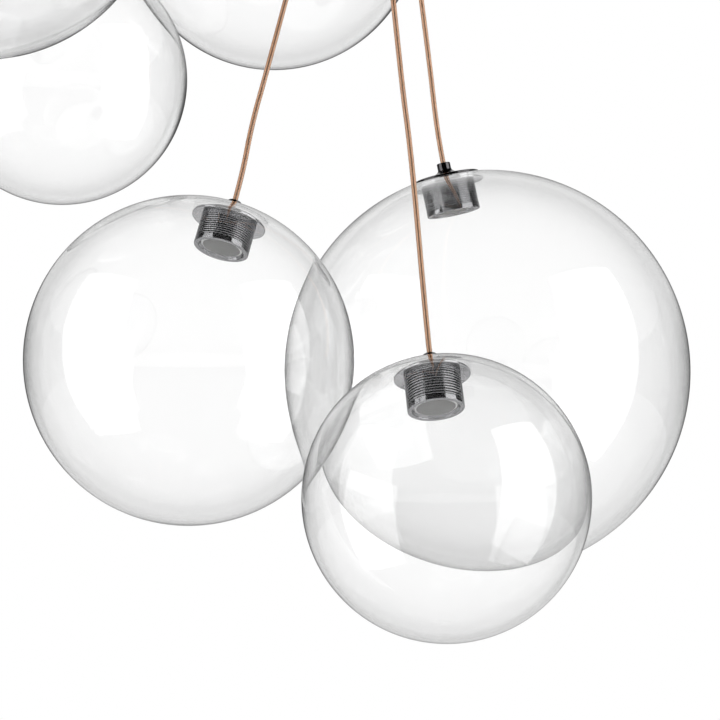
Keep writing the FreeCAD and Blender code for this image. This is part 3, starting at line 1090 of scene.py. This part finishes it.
    def core(self, path: Sequence[Vector]) -> bpy.types.Object:
        """Two copper strands side by side inside the jacket.

        Args:
            path: Points of the cord's own smooth line.

        Returns:
            One mesh with a UV map: once round, and along in turns of the fine wires.
        """
        maker = bmesh.new()
        uv_layer = maker.loops.layers.uv.new("strand")
        first = path[0] + (path[1] - path[0]).normalized() * self.STRAND_INSET
        last = path[-1] - (path[-1] - path[-2]).normalized() * self.STRAND_INSET
        stops = [first, *path[1:-1], last]
        fine = [first]
        for a, b in zip(stops, stops[1:]):
            count = max(1, math.ceil((b - a).length / self.STRAND_STEP))
            fine += [a.lerp(b, i / count) for i in range(1, count + 1)]
        side = Vector((1.0, 0.0, 0.0))
        frames = []
        run = 0.0
        for i, here in enumerate(fine):
            ahead = (fine[min(i + 1, len(fine) - 1)] - fine[max(i - 1, 0)]).normalized()
            side = (side - ahead * side.dot(ahead)).normalized()
            run += (here - fine[i - 1]).length if i else 0.0
            frames.append((here, side.copy(), ahead.cross(side), run))
        for shift in (-self.STRAND_OFFSET, self.STRAND_OFFSET):
            self._strand(maker, uv_layer, frames, shift)
        mesh = bpy.data.meshes.new(f"{self.name}_copper_core")
        maker.to_mesh(mesh)
        maker.free()
        piece = bpy.data.objects.new(mesh.name, mesh)
        bpy.context.scene.collection.objects.link(piece)
        dress(piece, Finishes.STRAND)
        return piece

    def _strand(
        self, maker: bmesh.types.BMesh, uv_layer: object, frames: Sequence[tuple], shift: float
    ) -> None:
        """Sweep one strand along the cord's middle line.

        Args:
            maker: The mesh it is added to.
            uv_layer: Its UV layer.
            frames: Point, two side directions and run at each step of the line.
            shift: How far to the side of the line it runs.
        """
        around = self.STRAND_SEGMENTS
        inner_side = 0.0 if shift < 0 else 0.5
        rings = []
        for here, side, across, run in frames:
            middle = here + side * shift
            ring = []
            for k in range(around):
                angle = 2 * math.pi * k / around
                spoke = side * math.cos(angle) + across * math.sin(angle)
                ring.append(maker.verts.new(middle + spoke * self.STRAND_RADIUS))
            rings.append((ring, run / self.WIRE_TURN))
        for (low, v_low), (high, v_high) in zip(rings, rings[1:]):
            for k in range(around):
                j = (k + 1) % around
                face = maker.faces.new((low[k], low[j], high[j], high[k]))
                face.smooth = True
                corners = ((k, v_low), (k + 1, v_low), (k + 1, v_high), (k, v_high))
                for loop, (u, v) in zip(face.loops, corners):
                    loop[uv_layer].uv = (u / around + inner_side, v)
        maker.faces.new(tuple(reversed(rings[0][0])))
        maker.faces.new(tuple(rings[-1][0]))


# ------------------------------------------------------------------ canopy


class Canopy:
    """Turned cover on the ceiling, with the glands that the cords leave it through."""

    FINISHES = (
        ("canopy_cover", Finishes.BLACK_NICKEL),
        ("ceiling_bracket", Finishes.ZINC),
        ("cover_screws", Finishes.BLACK_NICKEL),
        ("led_driver", Finishes.PLASTIC),
        ("terminal_block", Finishes.PLASTIC),
        ("cord_glands", Finishes.BLACK_NICKEL),
    )

    def build(self) -> None:
        """Finish the canopy's pieces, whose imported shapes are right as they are."""
        for node, finish in self.FINISHES:
            dress(frame["nodes"][node], finish)
            LOG.info("%s: finished", node)


# ------------------------------------------------------------------ studio


@dataclass
class Studio:
    """Camera, lamps, surroundings and floor."""

    camera_back: float = 3.325
    camera_height: float = -1.56
    camera_rise: float = 12.0
    camera_near: float = 0.05
    camera_far: float = 60.0
    focal_pixels: float = 3720.0
    glass_lift: float = 0.10
    edge_glow: float = 0.42
    fill: float = 0.85
    picture_pixels: float = 720.0
    sensor: float = 36.0
    floor_level: float = -1.95
    floor_half: float = 9.0
    floor_grey: float = 0.88
    floor_roughness: float = 0.9
    lamp_distance: float = 3.0
    lamp_width: float = 2.8
    lamp_height: float = 5.6
    lamp_angle: float = 66.0
    lamp_level: float = -0.85

    # Name, side of the camera and radiance of each window.
    WINDOWS = (("left_window", -1, 1.6), ("right_window", 1, 2.0))

    # Grey levels of the studio in reflections, from the camera's side to the backdrop's.
    STUDIO_TONES = (
        (0.0, 0.004), (0.5, 0.008), (0.7, 0.03), (0.8, 0.09), (0.88, 0.26), (0.93, 0.42),
        (0.964, 0.38), (0.985, 0.14), (1.0, 0.04),
    )
    # Where the backdrop's light ends above and below, as sines of the angle from its middle.
    BACKDROP_EDGE = (0.60, 0.86)
    BACKDROP_LIGHT = (1.0, 0.12)
    # Where the glow that edges the glass sets in, towards the backdrop and off its middle.
    GLOW_NEAR = (0.86, 0.95)
    GLOW_OFF_MIDDLE = (0.03, 0.20)

    def build(self) -> None:
        """Set up the whole studio."""
        scene = bpy.context.scene
        scene.view_settings.view_transform = "Standard"
        self.camera(scene)
        self.lamps()
        self.surroundings(scene)
        self.floor()

    def camera(self, scene: bpy.types.Scene) -> None:
        """Camera at the photograph's angle."""
        data = bpy.data.cameras.new("camera")
        data.sensor_width = self.sensor
        data.lens = self.focal_pixels / self.picture_pixels * self.sensor
        data.clip_start = self.camera_near
        data.clip_end = self.camera_far
        camera = bpy.data.objects.new("camera", data)
        camera.location = (0.0, -self.camera_back, self.camera_height)
        camera.rotation_euler = (math.radians(90 + self.camera_rise), 0.0, 0.0)
        scene.collection.objects.link(camera)
        scene.camera = camera

    def lamps(self) -> None:
        """Two tall soft windows, left and right of the camera."""
        middle = Vector((0.0, 0.0, self.lamp_level))
        area = self.lamp_width * self.lamp_height
        for name, side, radiance in self.WINDOWS:
            light = bpy.data.lights.new(name, "AREA")
            light.shape = "RECTANGLE"
            light.size = self.lamp_width
            light.size_y = self.lamp_height
            light.energy = radiance * area * math.pi
            angle = math.radians(self.lamp_angle)
            back = Vector((side * math.sin(angle), -math.cos(angle), 0.0))
            lamp = bpy.data.objects.new(name, light)
            lamp.location = middle + back * self.lamp_distance
            lamp.rotation_euler = (-back).to_track_quat("-Z", "Y").to_euler()
            lamp.visible_camera = False
            bpy.context.scene.collection.objects.link(lamp)

    def surroundings(self, scene: bpy.types.Scene) -> None:
        """White behind everything that is looked through, a grey studio in reflections."""
        world = bpy.data.worlds.new("studio")
        scene.world = world
        world.use_nodes = True
        tree = Tree(world.node_tree)
        ray = tree.add("ShaderNodeLightPath")
        where = tree.place("Generated")
        rise = math.radians(self.camera_rise)
        behind = tree.vector("DOT_PRODUCT", where, (0.0, math.cos(rise), math.sin(rise)))
        share = tree.math("MULTIPLY_ADD", behind.outputs["Value"], 0.5, 0.5)
        studio = tree.ramp(share, self.STUDIO_TONES)
        upward = tree.vector("DOT_PRODUCT", where, (0.0, -math.sin(rise), math.cos(rise)))
        height = upward.outputs["Value"]
        level = tree.span(tree.math("ABSOLUTE", height), self.BACKDROP_EDGE, self.BACKDROP_LIGHT)
        near = tree.span(share, self.GLOW_NEAR, (0.0, self.edge_glow))
        off_middle = tree.span(tree.math("ABSOLUTE", height), self.GLOW_OFF_MIDDLE, (0.0, 1.0))
        glow = tree.math("MULTIPLY", near, off_middle)
        lit = tree.vector("MULTIPLY", studio, level)
        mirrored = tree.vector("ADD", lit.outputs[0], glow)
        # Diffuse and mirrored light, at any depth; the rest looks straight at the backdrop.
        bounced = tree.math("GREATER_THAN", ray.outputs["Glossy Depth"], 0.5)
        scattered = tree.math("GREATER_THAN", ray.outputs["Diffuse Depth"], 0.5)
        seen_through = ray.outputs["Is Transmission Ray"]
        backdrop = tree.math("MULTIPLY_ADD", seen_through, self.glass_lift, 1.0)
        first = tree.add("ShaderNodeMix", data_type="RGBA")
        tree.link(bounced, first.inputs["Factor"])
        tree.link(backdrop, first.inputs["A"])
        tree.link(mirrored.outputs[0], first.inputs["B"])
        shown = tree.add("ShaderNodeMix", data_type="RGBA")
        tree.link(scattered, shown.inputs["Factor"])
        tree.link(first.outputs["Result"], shown.inputs["A"])
        shown.inputs["B"].default_value = (self.fill, self.fill, self.fill, 1.0)
        sky = tree.add("ShaderNodeBackground")
        tree.link(shown.outputs["Result"], sky.inputs["Color"])
        sky.inputs["Strength"].default_value = 1.0
        output = tree.add("ShaderNodeOutputWorld")
        tree.link(sky.outputs[0], output.inputs["Surface"])

    def floor(self) -> None:
        """Pale floor well below the lamp."""
        mesh = bpy.data.meshes.new("floor")
        half = self.floor_half
        z = self.floor_level
        corners = [(-half, -half, z), (half, -half, z), (half, half, z), (-half, half, z)]
        mesh.from_pydata(corners, [], [(0, 1, 2, 3)])
        floor = bpy.data.objects.new("floor", mesh)
        bpy.context.scene.collection.objects.link(floor)
        material, _tree, shader = new_material("pale_floor")
        shader.inputs["Base Color"].default_value = (*[self.floor_grey] * 3, 1.0)
        shader.inputs["Roughness"].default_value = self.floor_roughness
        mesh.materials.append(material)
        floor.visible_glossy = False


@dataclass(frozen=True)
class Hang:
    """What one pendant has of its own: rib pitch, and its cord's slight bends."""

    rib_pitch: float
    bends: tuple[Triple, ...]


FINE_PITCH = 2.1 * MM
WIDE_PITCH = 2.5 * MM
HANGS: dict[str, Hang] = {
    "front": Hang(WIDE_PITCH, ((0.0365, -0.095, -0.612), (0.0455, -0.109, -0.684))),
    "left": Hang(FINE_PITCH, ((-0.086, -0.053, -0.598), (-0.098, -0.061, -0.645))),
    "far": Hang(FINE_PITCH, ((0.064, 0.050, -0.540),)),
    "upper_rear": Hang(FINE_PITCH, ((-0.027, 0.079, -0.143),)),
    "upper_side": Hang(FINE_PITCH, ((-0.158, 0.038, -0.238),)),
    "upper_near": Hang(FINE_PITCH, ((-0.134, -0.053, -0.182),)),
}


def main() -> None:
    """Build the lamp and the studio."""
    logging.basicConfig(level=logging.INFO, format="%(name)s %(message)s")
    Studio().build()
    Canopy().build()
    ribs = RibTree()
    for name, hang in HANGS.items():
        Pendant(name, ribs, hang.rib_pitch, hang.bends).build()


if __name__ == "__main__":
    main()
